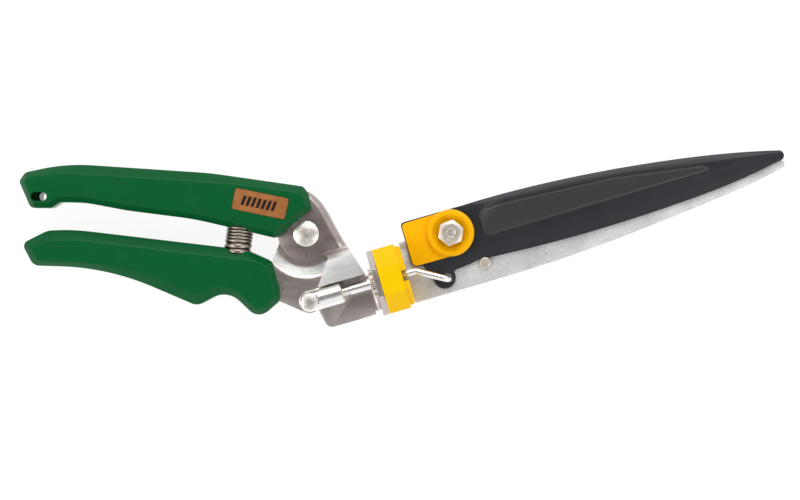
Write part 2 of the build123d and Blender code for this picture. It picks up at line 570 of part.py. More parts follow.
def make_hook_wire():
    """Bent wire from the pull rod to the ear of the moving blade."""
    ear_u = BOLT_U + EAR_U + HOOK_REST_U
    ear_v = BOLT_V + EAR_V + HOOK_REST_V
    tail = FIXED_FRONT + ROD_OFFSET + SLIDE_GAP
    path = FilletPolyline((ROD_FRONT - WIRE_SOCKET, ROD_OFFSET, 0), (WIRE_BEND_U, ROD_OFFSET, 0),
                          (ear_u, ear_v, 0), (ear_u, ear_v, tail),
                          radius=[WIRE_BEND_RADIUS, HOOK_BEND_RADIUS])
    start = Plane(origin=path @ 0, z_dir=path % 0)
    return HEAD * sweep(start * Circle(WIRE_RADIUS), path)


# ---- Swivel -----------------------------------------------------------------------------------
def make_swivel_tube():
    """Hollow rivet that holds the blade foot to the flange."""
    back = -SLIDE_GAP - STAR_THICKNESS - TUBE_REAR
    tube = rod_between(TUBE_RADIUS, back, FOOT_FRONT)
    tube += rod_between(TUBE_RADIUS + TUBE_FLARE, FOOT_FRONT, FOOT_FRONT + TUBE_LIP)
    return HEAD * along_u(tube - rod_between(TUBE_BORE, back - 1, FOOT_FRONT + TUBE_LIP + 1))


def make_star_washer():
    """Toothed retaining washer on the tube's rear end."""
    ring = Circle(STAR_RADIUS - STAR_TOOTH_LENGTH)
    tooth = Pos(STAR_RADIUS - STAR_TOOTH_LENGTH, 0) * Rectangle(2 * STAR_TOOTH_LENGTH, STAR_TOOTH_WIDTH)
    for index in range(STAR_TEETH):
        ring += Rot(0, 0, index * 360 / STAR_TEETH) * tooth
    ring -= Circle(TUBE_RADIUS)
    return HEAD * along_u(slab(ring, -SLIDE_GAP - STAR_THICKNESS, -SLIDE_GAP))


def make_swivel_spring():
    """Dished spring washer that keeps the swivel from turning by itself."""
    low = UPPER_SHEET + SLIDE_GAP
    high = FOOT_BACK
    inner = TUBE_RADIUS
    sheet = SWIVEL_SPRING_SHEET
    half = make_face(Polyline((inner, high - sheet), (SWIVEL_SPRING_RADIUS, low),
                              (SWIVEL_SPRING_RADIUS, low + sheet), (inner, high), close=True))
    return HEAD * along_u(revolve(Plane.XZ * half, Axis.Z))


def make_swivel_collar(blade):
    """Octagonal plastic collar moulded round the blade foot."""
    collar = slab(octagon(FLANGE_WIDTH), COLLAR_BACK, COLLAR_SHOULDER)
    nose = slab(octagon(FLANGE_WIDTH - 2 * COLLAR_STEP), COLLAR_SHOULDER, COLLAR_FRONT)
    collar += chamfer(nose.faces().sort_by(Axis.Z)[-1].edges(), COLLAR_EDGE)
    collar -= rod_between(SWIVEL_SPRING_RADIUS + COLLAR_PLAY, COLLAR_BACK - 1, FOOT_BACK)
    lip_radius = TUBE_RADIUS + TUBE_FLARE + COLLAR_PLAY
    collar -= rod_between(lip_radius, FOOT_BACK, FOOT_FRONT + TUBE_LIP + COLLAR_PLAY)
    collar -= rod_between(ROD_RADIUS + ROD_OFFSET + COLLAR_PLAY, FOOT_FRONT, COLLAR_FRONT + 1)
    collar = along_u(collar)
    wire_half = WIRE_RADIUS + ROD_OFFSET + COLLAR_PLAY
    collar -= Pos(COLLAR_SHOULDER + 10, 0, 20 + FIXED_FRONT) * Box(20, 2 * wire_half, 40)
    return (HEAD * collar) - blade


# ---- Blades -----------------------------------------------------------------------------------
def bolt_frame(shape):
    """Places a shape drawn about the blade bolt, with u and v as its X and Y."""
    return HEAD * (Pos(BOLT_U, BOLT_V, 0) * shape)


def fixed_blade_outline():
    """Fixed blade in front of the collar, about the bolt."""
    reach = BLADE_REACH
    rear = COLLAR_FRONT + SLIDE_GAP - BOLT_U
    low = -BOLT_V - TANG_LOW
    high = low + TANG_WIDTH
    back_edge = Spline((12, low + 0.3), (0.43 * reach, low + 2.3), (0.7 * reach, low + 6.2),
                       (0.85 * reach, low + 8.9), (reach - 1.0, low + 12.6))
    front = Polyline((reach - 1.0, low + 12.6), (reach - 0.2, low + 15.0), (reach - 3.0, low + 16.6),
                     (0.25 * reach, low + 19.6), (10, low + 21), (6, high - 4), (0, high), (rear, high))
    return make_face(Polyline((rear, high), (rear, low), (12, low + 0.3)) + back_edge + front)


def make_fixed_blade():
    """Steel blade with a tang that is bent up inside the collar to a foot square to the head axis."""
    blade = Pos(BOLT_U, BOLT_V, 0) * slab(fixed_blade_outline(), FIXED_BACK, FIXED_FRONT)
    neck_back = FOOT_BACK
    neck = Rectangle(COLLAR_FRONT + 1 - neck_back, FOOT_WIDTH)
    neck = slab(Pos((neck_back + COLLAR_FRONT + 1) / 2, 0) * neck, FIXED_BACK, FIXED_FRONT)
    foot = slab(octagon(FOOT_WIDTH), FOOT_BACK, FOOT_FRONT)
    foot = along_u(foot) & (Pos(0, 0, FIXED_BACK + 50) * Box(100, 100, 100))
    blade += neck + foot
    blade -= along_u(rod_between(TUBE_RADIUS, 0, FOOT_FRONT + 1))
    blade -= Pos(BOLT_U, BOLT_V, 0) * rod_between(BOLT_RADIUS, FIXED_BACK - 1, FIXED_FRONT + 1)
    return HEAD * (blade - Pos(BOLT_U + STOP_U, BOLT_V + STOP_V, 0) * rod_between(STOP_RADIUS - 0.6, -20, 0))


def back_curve(shift):
    """The moving blade's back from the cover to the nose, moved inwards by its shares of shift."""
    reach = BLADE_REACH
    top = COVER_HALF + COVER_MARGIN - 0.1
    spots = [(8, top, 0.2), (0.2 * reach, top, 1), (0.4 * reach, 8.6, 1), (0.64 * reach, 4.9, 1),
             (0.85 * reach, -0.1, 0.8), (0.985 * reach, -4.6, 0.3)]
    return Spline(*[(u, v - shift * share) for u, v, share in spots])


def moving_blade_outline():
    reach = BLADE_REACH
    half = COVER_HALF + COVER_MARGIN
    tail = -COVER_TAIL - COVER_MARGIN
    top = back_curve(0)
    edge = Spline((0.98 * reach, -9.2), (0.84 * reach, -12.7), (0.64 * reach, -15.1), (0.4 * reach, -16.2),
                  (0.11 * reach, -15.0))
    nose = ThreePointArc((0.985 * reach, -4.6), (reach, -6.6), (0.98 * reach, -9.2))
    ear = Polyline((0.11 * reach, -15.0), (STOP_U + 2.6, STOP_V + 1.6), (STOP_U - 2.6, -14.5), (5.6, -15.1),
                   (0.2, -15.7), (EAR_U + 4.4, EAR_V + 2.9), (EAR_U, EAR_V), (EAR_U - 5.1, EAR_V - 1.4),
                   (-15.3, -half), (tail, -half))
    body = make_face(ear + Polyline((tail, -half), (tail, half - 0.1), (8, half - 0.1)) + top + nose + edge)
    body = fillet(body.vertices().sort_by_distance((tail, -half))[0], 2.6)
    body = fillet(body.vertices().sort_by_distance((tail, half))[0], 1.6)
    body += Pos(EAR_U - 1.4, EAR_V + 0.8) * Circle(EAR_RADIUS)
    body -= Pos(EAR_U, EAR_V) * Circle(WIRE_RADIUS + HOOK_CLEARANCE)
    body -= Pos(STOP_U, STOP_V) * Circle(STOP_RADIUS + STOP_GAP)
    return body


def make_moving_blade():
    blade = slab(moving_blade_outline(), MOVING_BACK, MOVING_FRONT)
    reach = BLADE_REACH
    sections = []
    for shift, drop in ((0, BACK_BEVEL_DEPTH), (BACK_BEVEL, 0)):
        curve = back_curve(shift)
        beyond = make_face(curve + Polyline(curve @ 1, (reach, 30), (8, 30), curve @ 0))
        sections.append(Pos(0, 0, MOVING_FRONT - drop) * beyond)
    blade -= loft(sections, ruled=True)
    panel = make_face(Polyline((0.094 * reach, -5.9), (0.8 * reach, -4.8), (0.76 * reach, -1.8),
                               (0.5 * reach, 3.8), (0.165 * reach, 6.5), (0.090 * reach, 5.9), close=True))
    panel = fillet(panel.vertices().sort_by(Axis.X)[:2], 2.8)
    panel = fillet(panel.vertices().sort_by(Axis.X)[-2:], 0.9)
    slope = math.degrees(math.atan2(PANEL_SLOPE, PANEL_RAISE))
    blade += extrude(Pos(0, 0, MOVING_FRONT) * panel, PANEL_RAISE, taper=slope)
    blade -= rod_between(BUSH_RADIUS + RUNNING_GAP, MOVING_BACK - 1, MOVING_FRONT + 1)
    return bolt_frame(blade)


def make_pivot_cover():
    """Plastic cover fixed on the moving blade round the bolt."""
    flat = rounded_outline([(-COVER_TAIL, -COVER_HALF + 0.1, 2.0), (0, -COVER_HALF, 0), (0, COVER_HALF, 0),
                            (-COVER_TAIL, COVER_HALF - 0.3, 1.6)])
    cover = slab(flat, MOVING_FRONT, COVER_TOP)
    boss = rod_between(BOSS_RADIUS, MOVING_FRONT, COVER_TOP + COVER_BOSS)
    cover += fillet(boss.edges().sort_by(Axis.Z)[-1], BOSS_ROUND)
    well = NUT_CORNER + NUT_WELL_GAP
    cover -= rod_between(well, WELL_FLOOR, COVER_TOP + COVER_BOSS + 1)
    flare = Cone(well, WELL_MOUTH, WELL_FLARE, align=(Align.CENTER, Align.CENTER, Align.MAX))
    cover -= Pos(0, 0, COVER_TOP + COVER_BOSS) * flare
    cover -= rod_between(BUSH_RADIUS + RUNNING_GAP, MOVING_FRONT - 1, WELL_FLOOR + 1)
    return bolt_frame(cover)


def make_blade_bolt():
    hexagon = RegularPolygon(NUT_FLATS / 2, 6, major_radius=False)
    head = slab(hexagon, FIXED_BACK - BOLT_HEAD_HEIGHT, FIXED_BACK)
    end = NUT_FRONT + NUT_COLLAR_HEIGHT - 0.1
    shank = chamfer(rod_between(BOLT_RADIUS, FIXED_BACK, end).edges().sort_by(Axis.Z)[-1], 0.5)
    cup = Cone(0.5 * BOLT_RADIUS, 0.7 * BOLT_RADIUS, BOLT_CUP, align=(Align.CENTER, Align.CENTER, Align.MAX))
    return bolt_frame(head + shank - Pos(0, 0, end) * cup)


def make_blade_bush():
    """Steel sleeve that the moving blade turns on."""
    ring = Circle(BUSH_RADIUS) - Circle(BOLT_RADIUS)
    return bolt_frame(slab(ring, FIXED_FRONT, WELL_FLOOR + SLIDE_GAP))


def make_disc_spring():
    """Dished spring washer between the bush and the nut."""
    low = WELL_FLOOR + SLIDE_GAP
    half = make_face(Polyline((BOLT_RADIUS, NUT_BACK - DISC_SPRING_SHEET), (DISC_SPRING_RADIUS, low),
                              (DISC_SPRING_RADIUS, low + DISC_SPRING_SHEET), (BOLT_RADIUS, NUT_BACK),
                              close=True))
    return bolt_frame(revolve(Plane.XZ * half, Axis.Z))


def make_blade_nut():
    """Hexagon nut with turned corners, and a round collar that holds the nylon ring."""
    hexagon = RegularPolygon(NUT_FLATS / 2, 6, major_radius=False, rotation=NUT_TURN)
    hexagon = slab(hexagon, NUT_BACK, NUT_FRONT)
    turned = Cone(NUT_FLATS / 2 + NUT_HEIGHT / math.tan(math.radians(NUT_CORNER_SLOPE)), NUT_FLATS / 2,
                  NUT_HEIGHT, align=(Align.CENTER, Align.CENTER, Align.MAX))
    hexagon &= Pos(0, 0, NUT_FRONT) * turned
    nut = hexagon + rod_between(NUT_COLLAR, NUT_FRONT, NUT_FRONT + NUT_COLLAR_HEIGHT)
    nut -= rod_between(BOLT_RADIUS, NUT_BACK - 1, NUT_FRONT + 5)
    return bolt_frame(nut - rod_between(BOLT_RADIUS + NYLON_WALL, NYLON_BACK, NYLON_FRONT))


def make_nylon_ring():
    ring = Circle(BOLT_RADIUS + NYLON_WALL) - Circle(BOLT_RADIUS)
    return bolt_frame(slab(ring, NYLON_BACK, NYLON_FRONT))


def make_stop_pin():
    """Round stop riveted into the fixed blade."""
    pin = rod_between(STOP_RADIUS, FIXED_FRONT, FIXED_FRONT + STOP_HEIGHT)
    pin = fillet(pin.edges().sort_by(Axis.Z)[-1], 0.5)
    pin += rod_between(STOP_RADIUS - 0.6, FIXED_BACK, FIXED_FRONT)
    return bolt_frame(Pos(STOP_U, STOP_V, 0) * pin)


def make_all():
    upper_frame = make_upper_frame()
    lower_frame = make_lower_frame()
    fixed_blade = make_fixed_blade()
    return {
        "upper_grip": make_upper_grip(upper_frame),
        "lower_grip": make_lower_grip(lower_frame),
        "label_plate": make_label_plate(),
        "upper_frame": upper_frame,
        "lower_frame": lower_frame,
        "pivot_rivet": make_pivot_rivet(),
        "pivot_spacer": make_pivot_spacer(),
        "handle_spring": make_handle_spring(),
        "clevis": make_clevis(),
        "clevis_rivet": make_clevis_rivet(),
        "pull_rod": make_pull_rod(),
        "hook_wire": make_hook_wire(),
        "swivel_tube": make_swivel_tube(),
        "star_washer": make_star_washer(),
        "swivel_spring": make_swivel_spring(),
        "swivel_collar": make_swivel_collar(fixed_blade),
        "fixed_blade": fixed_blade,
        "moving_blade": make_moving_blade(),
        "pivot_cover": make_pivot_cover(),
        "blade_bolt": make_blade_bolt(),
        "blade_bush": make_blade_bush(),
        "disc_spring": make_disc_spring(),
        "blade_nut": make_blade_nut(),
        "nylon_ring": make_nylon_ring(),
        "stop_pin": make_stop_pin(),
    }


pieces = make_all()
whole = Compound(children=[Compound(piece.solids()) for piece in pieces.values()]).bounding_box()
BASE_CENTRE = Vector(whole.center().X, whole.center().Y, whole.min.Z)

if __name__ == "__main__":
    os.makedirs("parts", exist_ok=True)
    for node, piece in pieces.items():
        export_step(Pos(*(-BASE_CENTRE)) * piece, f"parts/{node}.step")
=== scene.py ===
import json
import math
import bpy
from mathutils import Matrix, Vector


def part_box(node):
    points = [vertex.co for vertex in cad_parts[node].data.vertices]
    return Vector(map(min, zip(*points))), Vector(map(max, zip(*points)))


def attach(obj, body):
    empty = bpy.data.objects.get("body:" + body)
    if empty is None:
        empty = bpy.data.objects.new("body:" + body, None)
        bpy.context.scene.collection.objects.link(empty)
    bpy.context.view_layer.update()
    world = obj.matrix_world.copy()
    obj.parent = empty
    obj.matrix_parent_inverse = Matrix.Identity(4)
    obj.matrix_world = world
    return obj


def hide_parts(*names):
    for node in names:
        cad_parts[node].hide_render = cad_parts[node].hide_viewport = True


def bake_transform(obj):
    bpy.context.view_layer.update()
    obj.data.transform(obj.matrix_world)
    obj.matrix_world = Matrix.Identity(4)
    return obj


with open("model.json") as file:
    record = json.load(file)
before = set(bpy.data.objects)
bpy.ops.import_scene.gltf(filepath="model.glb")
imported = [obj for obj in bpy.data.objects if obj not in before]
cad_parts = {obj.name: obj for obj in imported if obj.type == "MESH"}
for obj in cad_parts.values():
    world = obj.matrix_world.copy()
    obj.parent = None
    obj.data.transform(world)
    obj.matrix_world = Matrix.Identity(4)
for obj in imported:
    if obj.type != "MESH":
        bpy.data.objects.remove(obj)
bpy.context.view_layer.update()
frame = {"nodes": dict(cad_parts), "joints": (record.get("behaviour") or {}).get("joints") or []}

NODES = frame["nodes"]
JOINTS = {joint["name"]: joint for joint in frame["joints"]}

# ---- Table, light and camera --------------------------------------------------------------------
# The shears lie on their back on a softly lit white light table under studio light, and the camera
# looks straight down on them. The middle of the view is a little below the middle of the tool.
scene = bpy.context.scene
scene.view_settings.view_transform = "Standard"

rod_level = JOINTS["head_swivel"]["pos_m"][2]
view_middle = (-0.0016, -0.0049)
camera_distance = 1.2
bpy.ops.object.camera_add(location=(*view_middle, rod_level + camera_distance))
camera = bpy.context.object
camera.name = "camera"
camera.data.sensor_width = 36
camera.data.lens = 125.2
camera.data.dof.use_dof = False
scene.camera = camera

# The table glows by itself. Its own colour is grey, so that little shows on it but soft shadows.
table_size = 6
table_gap = 0.0002         # below the tool's lowest face
table_grey = 0.15
table_glow = 0.90
bpy.ops.mesh.primitive_plane_add(size=table_size, location=(0, 0, -table_gap))
table = bpy.context.object
table.name = "table"
table_white = bpy.data.materials.new("table_white")
table_white.use_nodes = True
table_shader = table_white.node_tree.nodes["Principled BSDF"]
table_shader.inputs["Base Color"].default_value = (table_grey, table_grey, table_grey, 1)
table_shader.inputs["Emission Color"].default_value = (1, 1, 1, 1)
table_shader.inputs["Emission Strength"].default_value = table_glow
table_shader.inputs["Roughness"].default_value = 0.9
table_shader.inputs["Specular IOR Level"].default_value = 0.1
table.data.materials.append(table_white)

# The room is bright all round and dim overhead, where level metal faces mirror it.
around = (0.95, 0.95, 0.95, 1)
overhead = (0.22, 0.205, 0.20, 1)
dims_from = 0.78
dims_until = 0.98
world = bpy.data.worlds.new("studio")
scene.world = world
world.use_nodes = True
sky = world.node_tree
direction = sky.nodes.new("ShaderNodeTexCoord")
height = sky.nodes.new("ShaderNodeSeparateXYZ")
ramp = sky.nodes.new("ShaderNodeValToRGB")
sky.links.new(direction.outputs["Generated"], height.inputs[0])
sky.links.new(height.outputs["Z"], ramp.inputs[0])
sky.links.new(ramp.outputs[0], sky.nodes["Background"].inputs["Color"])
level_stop, top_stop = ramp.color_ramp.elements
level_stop.position = 0.0
level_stop.color = around
top_stop.position = dims_until
top_stop.color = overhead
ramp.color_ramp.elements.new(dims_from).color = around
sky.nodes["Background"].inputs["Strength"].default_value = 1.0

for name, place, size, power in (("soft_box_top", (0.1, 0.9, 0.9), 0.9, 7.0),
                                 ("soft_box_left", (-0.9, -0.2, 0.8), 0.7, 4.0),
                                 ("soft_box_right", (0.8, -0.5, 0.9), 0.6, 3.0)):
    bpy.ops.object.light_add(type="AREA", location=place)
    light = bpy.context.object
    light.name = name
    light.data.shape = "SQUARE"
    light.data.size = size
    light.data.energy = power
    light.rotation_euler = (-Vector(place)).to_track_quat("-Z", "Y").to_euler()


# ---- Upper frame --------------------------------------------------------------------------------
# Folded from 2.4 mm steel sheet: two cheeks and a spine round the pivot, a bracket beside the pull
# rod and a back cheek bent up into the octagonal flange. Its edges are tumbled, so they are soft.
def only(piece):
    """Leaves just this piece selected and active."""
    bpy.ops.object.select_all(action="DESELECT")
    piece.select_set(True)
    bpy.context.view_layer.objects.active = piece


def apply_modifier(piece, kind, **settings):
    """Adds a modifier with these settings to a piece and applies it."""
    only(piece)
    bpy.ops.object.modifier_add(type=kind)
    modifier = piece.modifiers[-1]
    for key, value in settings.items():
        setattr(modifier, key, value)
    bpy.ops.object.modifier_apply(modifier=modifier.name)


SHARP_ANGLE = math.radians(38)         # edges sharper than this are rounded
FLAT_ANGLE = math.radians(0.4)         # faces that turn less than this become one
MERGE_DISTANCE = 0.000002


def round_edges(piece, width, segments=2):
    """Bevels the sharp edges of a piece."""
    apply_modifier(piece, "BEVEL", width=width, segments=segments, limit_method="ANGLE",
                   angle_limit=SHARP_ANGLE, use_clamp_overlap=True, miter_outer="MITER_ARC")


def refined(node, name, body, edge=0.0, smooth=35, segments=2):
    """A merged copy of a CAD node, with its sharp edges rounded, that stands for it."""
    piece = bpy.data.objects.new(name, NODES[node].data.copy())
    piece.data.name = name
    scene.collection.objects.link(piece)
    only(piece)
    bpy.ops.mesh.customdata_custom_splitnormals_clear()
    bpy.ops.object.mode_set(mode="EDIT")
    bpy.ops.mesh.select_all(action="SELECT")
    bpy.ops.mesh.remove_doubles(threshold=MERGE_DISTANCE)
    bpy.ops.mesh.dissolve_limited(angle_limit=FLAT_ANGLE)
    bpy.ops.object.mode_set(mode="OBJECT")
    if edge > 0:
        round_edges(piece, edge, segments)
    bpy.ops.object.shade_smooth_by_angle(angle=math.radians(smooth))
    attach(piece, body)
    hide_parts(node)
    return piece


class Value:
    """What comes out of a node's socket. Arithmetic on it adds Math nodes."""

    def __init__(self, finish, socket):
        self.finish = finish
        self.socket = socket

    def maths(self, operation, first, second):
        return self.finish.node("Math", {"operation": operation}, {0: first, 1: second})

    def __add__(self, other):
        return self.maths("ADD", self, other)

    def __radd__(self, other):
        return self.maths("ADD", other, self)

    def __sub__(self, other):
        return self.maths("SUBTRACT", self, other)

    def __rsub__(self, other):
        return self.maths("SUBTRACT", other, self)

    def __mul__(self, other):
        return self.maths("MULTIPLY", self, other)

    def __rmul__(self, other):
        return self.maths("MULTIPLY", other, self)

    def __gt__(self, other):
        return self.maths("GREATER_THAN", self, other)

    def __lt__(self, other):
        return self.maths("LESS_THAN", self, other)


class Finish:
    """A surface finish: one Principled shader and the nodes that feed it."""

    # Numbers of the Mix node's colour sockets. Their names are shared with its other sockets.
    MIX_FIRST = 6
    MIX_SECOND = 7
    MIX_RESULT = 2
    # The range of heights that a band can follow, centred on the pull rod.
    BAND_SPAN = 0.025

    def __init__(self, name, **numbers):
        self.material = bpy.data.materials.new(name)
        self.material.use_nodes = True
        self.tree = self.material.node_tree
        self.shader = self.tree.nodes["Principled BSDF"]
        for key, value in numbers.items():
            self.feed(key.replace("_", " ").title().replace("Ior", "IOR"), value)
        self.place = self.node("TexCoord", {}, {}, "Object")

    def node(self, kind, settings, inputs, output=0):
        """Adds a node: its settings first, then the values or links of its sockets."""
        node = self.tree.nodes.new("ShaderNode" + kind)
        for key, value in settings.items():
            if key == "stops":
                self.set_stops(node.color_ramp.elements, value)
            else:
                setattr(node, key, value)
        for key, value in inputs.items():
            self.plug(node.inputs[key], value)
        return Value(self, node.outputs[output])

    def set_stops(self, elements, stops):
        """Gives a colour ramp its stops, each a position and a grey level."""
        while len(elements) < len(stops):
            elements.new(1.0)
        for element, (position, level) in zip(elements, stops):
            element.position = position
            element.color = (level, level, level, 1)

    def plug(self, socket, value):
        """Links a value to a socket, or sets the socket to a constant."""
        if isinstance(value, Value):
            self.tree.links.new(value.socket, socket)
        elif isinstance(value, tuple) and len(value) == 3 and len(socket.default_value) == 4:
            socket.default_value = (*value, 1)
        else:
            socket.default_value = value

    def feed(self, key, value):
        """Sets or links one input of the shader."""
        self.plug(self.shader.inputs[key], value)

    def noise(self, size, detail=3.0, stretch=(1, 1, 1), turn=0.0, roughness=0.55):
        """Noise from 0 to 1 with features of that size, stretched along the turned axes."""
        place = self.node("Mapping", {}, {"Vector": self.place, "Rotation": (0, 0, turn),
                                          "Scale": stretch})
        return self.node("TexNoise", {}, {"Vector": place, "Scale": 1 / size, "Detail": detail,
                                          "Roughness": roughness})

    def height(self):
        """How high each point of the surface lies on the tool at rest."""
        return self.node("SeparateXYZ", {}, {0: self.place}, "Z")

    def ramp(self, value, *stops):
        """A grey level that follows a value through the stops."""
        return self.node("ValToRGB", {"stops": stops}, {0: value})

    def band(self, stops):
        """A grey level that follows the height. Each stop is a height above the rod and a level."""
        share = (self.height() - rod_level) * (1 / self.BAND_SPAN) + 0.5
        return self.ramp(share, *((above / self.BAND_SPAN + 0.5, level) for above, level in stops))

    def mix(self, share, first, second):
        """A colour between the first and the second."""
        return self.node("Mix", {"data_type": "RGBA"},
                         {0: share, self.MIX_FIRST: first, self.MIX_SECOND: second},
                         self.MIX_RESULT)

    def bump(self, height, distance, strength):
        """Makes the surface stand up where the height is high."""
        self.feed("Normal", self.node("Bump", {}, {"Height": height, "Distance": distance,
                                                   "Strength": strength}))


def paint(piece, finish):
    """Gives a piece its finish in place of any it had."""
    if piece.material_slots:
        for slot in piece.material_slots:
            slot.material = finish.material
    else:
        piece.data.materials.append(finish.material)


def stamped_steel(name, painted_highlight_bands, painted_shade_bands=()):
    """Satin sheet steel, grain and rolling lines; height bands get painted highlight or shade."""
    finish = Finish(name, metallic=1.0)
    grain = finish.noise(0.0006, 4.0)
    rolling = finish.noise(0.0025, 5.0, stretch=(0.16, 1, 1), turn=math.radians(-12))
    cloud = finish.noise(0.012, 2.0)
    tone = finish.ramp(grain * 0.5 + rolling * 0.3 + cloud * 0.2, (0.32, 0.0), (0.68, 1.0))
    colour = finish.mix(tone, (0.47, 0.41, 0.39), (0.64, 0.58, 0.56))
    if painted_shade_bands:
        # Painted shade: a darker copy of the steel colour, laid on its band of height.
        dark = finish.mix(tone, (0.30, 0.25, 0.24), (0.47, 0.41, 0.40))
        colour = finish.mix(finish.band(painted_shade_bands), colour, dark)
    # Painted highlight: a lighter copy of the steel colour, laid on its band of height.
    painted_highlight_share = finish.band(painted_highlight_bands)
    bright = finish.mix(tone, (0.70, 0.71, 0.69), (0.86, 0.87, 0.85))
    finish.feed("Base Color", finish.mix(painted_highlight_share, colour, bright))
    finish.feed("Roughness", 0.20 + rolling * 0.12 + grain * 0.08 + painted_highlight_share * 0.12)
    finish.bump(grain * 0.7 + rolling * 0.3, 0.00002, 0.35)
    return finish


upper_frame = refined("upper_frame", "upper_frame_folded", "upper_handle",
                      edge=0.0003)
# The front cheek's eye gets painted shade and the bracket in front of it a painted highlight.
paint(upper_frame, stamped_steel(
    "upper_frame_steel",
    painted_highlight_bands=((0.0005, 0.0), (0.0025, 1.0), (0.00425, 1.0), (0.0055, 0.0)),
    painted_shade_bands=((-0.00625, 0.0), (-0.0025, 1.0), (-0.0005, 1.0), (0.00075, 0.0))))

# ---- Lower frame --------------------------------------------------------------------------------
# Stamped from 2 mm steel sheet and dished in a ring about the pivot, so that its eye passes between
# the cheeks of the upper frame while its arm stays in the plane of the pull rod.
lower_frame = refined("lower_frame", "lower_frame_dished", "lower_handle",
                      edge=0.0003)
# The sloping ring of the dish gets a painted reflection, lighter than the rest.
paint(lower_frame, stamped_steel(
    "lower_frame_steel",
    painted_highlight_bands=((-0.0035, 0.0), (-0.00275, 1.0), (-0.00025, 1.0), (0.00075, 0.0))))


# ---- Pivot rivet and spacer ---------------------------------------------------------------------
# A polished steel rivet with low domed heads clamps the upper frame's cheeks. The washer on its
# shank keeps the lower frame against the front cheek.
def polished_steel():
    """Bright steel with faint turning marks and small dents from the rivet set."""
    finish = Finish("polished_steel", metallic=1.0)
    cloud = finish.noise(0.0022, 3.0)
    fine = finish.noise(0.0004, 3.0)
    tone = finish.ramp(cloud, (0.35, 0.0), (0.65, 1.0))
    finish.feed("Base Color", finish.mix(tone, (0.69, 0.65, 0.58), (0.89, 0.865, 0.81)))
    finish.feed("Roughness", 0.26 + cloud * 0.14 + fine * 0.05)
    finish.bump(cloud * 0.8 + fine * 0.2, 0.00010, 0.7)
    return finish


def zinc_plate():
    """Dull zinc plating with a slightly warm cast."""
    finish = Finish("zinc_plate", metallic=1.0)
    cloud = finish.noise(0.0018, 3.0)
    fine = finish.noise(0.0003, 3.0)
    finish.feed("Base Color", finish.mix(cloud, (0.62, 0.54, 0.46), (0.84, 0.77, 0.69)))
    finish.feed("Roughness", 0.34 + cloud * 0.12)
    finish.bump(fine, 0.00002, 0.4)
    return finish


POLISHED = polished_steel()
ZINC = zinc_plate()
paint(NODES["pivot_rivet"], POLISHED)
paint(NODES["pivot_spacer"], ZINC)


# ---- Grips --------------------------------------------------------------------------------------
# Two solid mouldings of glossy green plastic on the tangs of the frames. Their faces are flat with
# a bevel all round, and the upper one has a hang hole in its tail.
def green_plastic():
    """Glossy moulded plastic: faint flow clouds, even fine grain and rubbed, less glossy spots."""
    finish = Finish("green_plastic", specular_ior_level=0.12)
    flow = finish.noise(0.02, 3.0, stretch=(0.4, 1, 1))
    grain = finish.noise(0.0005, 2.0)
    rubbed = finish.ramp(finish.noise(0.006, 5.0, roughness=0.7), (0.52, 0.0), (0.7, 1.0))
    finish.feed("Base Color", finish.mix(flow, (0.0016, 0.074, 0.0185), (0.0030, 0.092, 0.0255)))
    finish.feed("Roughness", 0.22 + rubbed * 0.10 + grain * 0.05)
    finish.bump(grain, 0.00001, 0.25)
    return finish


GREEN = green_plastic()
for node, name, body in (("upper_grip", "upper_grip_moulding", "upper_handle"),
                         ("lower_grip", "lower_grip_moulding", "lower_handle")):
    grip = refined(node, name, body, smooth=28)
    paint(grip, GREEN)


# ---- Label plate --------------------------------------------------------------------------------
# A thin copper-coloured foil plate in a window of the upper grip, printed with a row of plain
# slanted strokes.
def copper_foil():
    """Satin foil with a fine speckle."""
    finish = Finish("copper_foil", metallic=0.55)
    speckle = finish.noise(0.0003, 3.0)
    cloud = finish.noise(0.004, 2.0)
    tone = finish.ramp(speckle * 0.6 + cloud * 0.4, (0.35, 0.0), (0.65, 1.0))
    finish.feed("Base Color", finish.mix(tone, (0.27, 0.095, 0.024), (0.45, 0.18, 0.052)))
    finish.feed("Roughness", 0.38 + speckle * 0.15)
    finish.bump(speckle, 0.00001, 0.3)
    return finish


def print_ink():
    """Matt dark ink, a little uneven."""
    finish = Finish("print_ink", specular_ior_level=0.1)
    blot = finish.noise(0.0005, 3.0)
    finish.feed("Base Color", finish.mix(blot, (0.006, 0.005, 0.004), (0.022, 0.017, 0.014)))
    finish.feed("Roughness", 0.55 + blot * 0.2)
    finish.bump(blot, 0.00001, 0.2)
    return finish


paint(NODES["label_plate"], copper_foil())
label_low, label_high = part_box("label_plate")
label_middle = (label_low + label_high) / 2
label_turn = math.radians(-11.6)        # of the plate's long side from the x axis
stroke_count = 7
stroke_pitch = 0.0022
stroke_width = 0.0013
stroke_height = 0.0042
stroke_lean = 0.0008
row_shift = -0.0006        # of the whole row along the plate
ink_thickness = 0.00008
ink_lift = 0.00003         # of the ink's middle above the plate
ink_edge = 0.00012
bpy.ops.object.select_all(action="DESELECT")
bpy.ops.mesh.primitive_cube_add(size=1)
strokes = bpy.context.object
strokes.name = "label_strokes"
strokes.scale = (stroke_width, stroke_height, ink_thickness)
strokes.location.x = row_shift - (stroke_count - 1) / 2 * stroke_pitch
bpy.ops.object.transform_apply(location=True, rotation=False, scale=True)
for vertex in strokes.data.vertices:
    vertex.co.x += stroke_lean * vertex.co.y / stroke_height
apply_modifier(strokes, "ARRAY", count=stroke_count, use_relative_offset=False,
               use_constant_offset=True, constant_offset_displace=(stroke_pitch, 0, 0))
round_edges(strokes, ink_edge)
strokes.rotation_euler.z = label_turn
strokes.location = (label_middle.x, label_middle.y, label_high.z + ink_lift)
bpy.ops.object.transform_apply(location=True, rotation=True, scale=False)
paint(strokes, print_ink())
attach(strokes, "upper_handle")
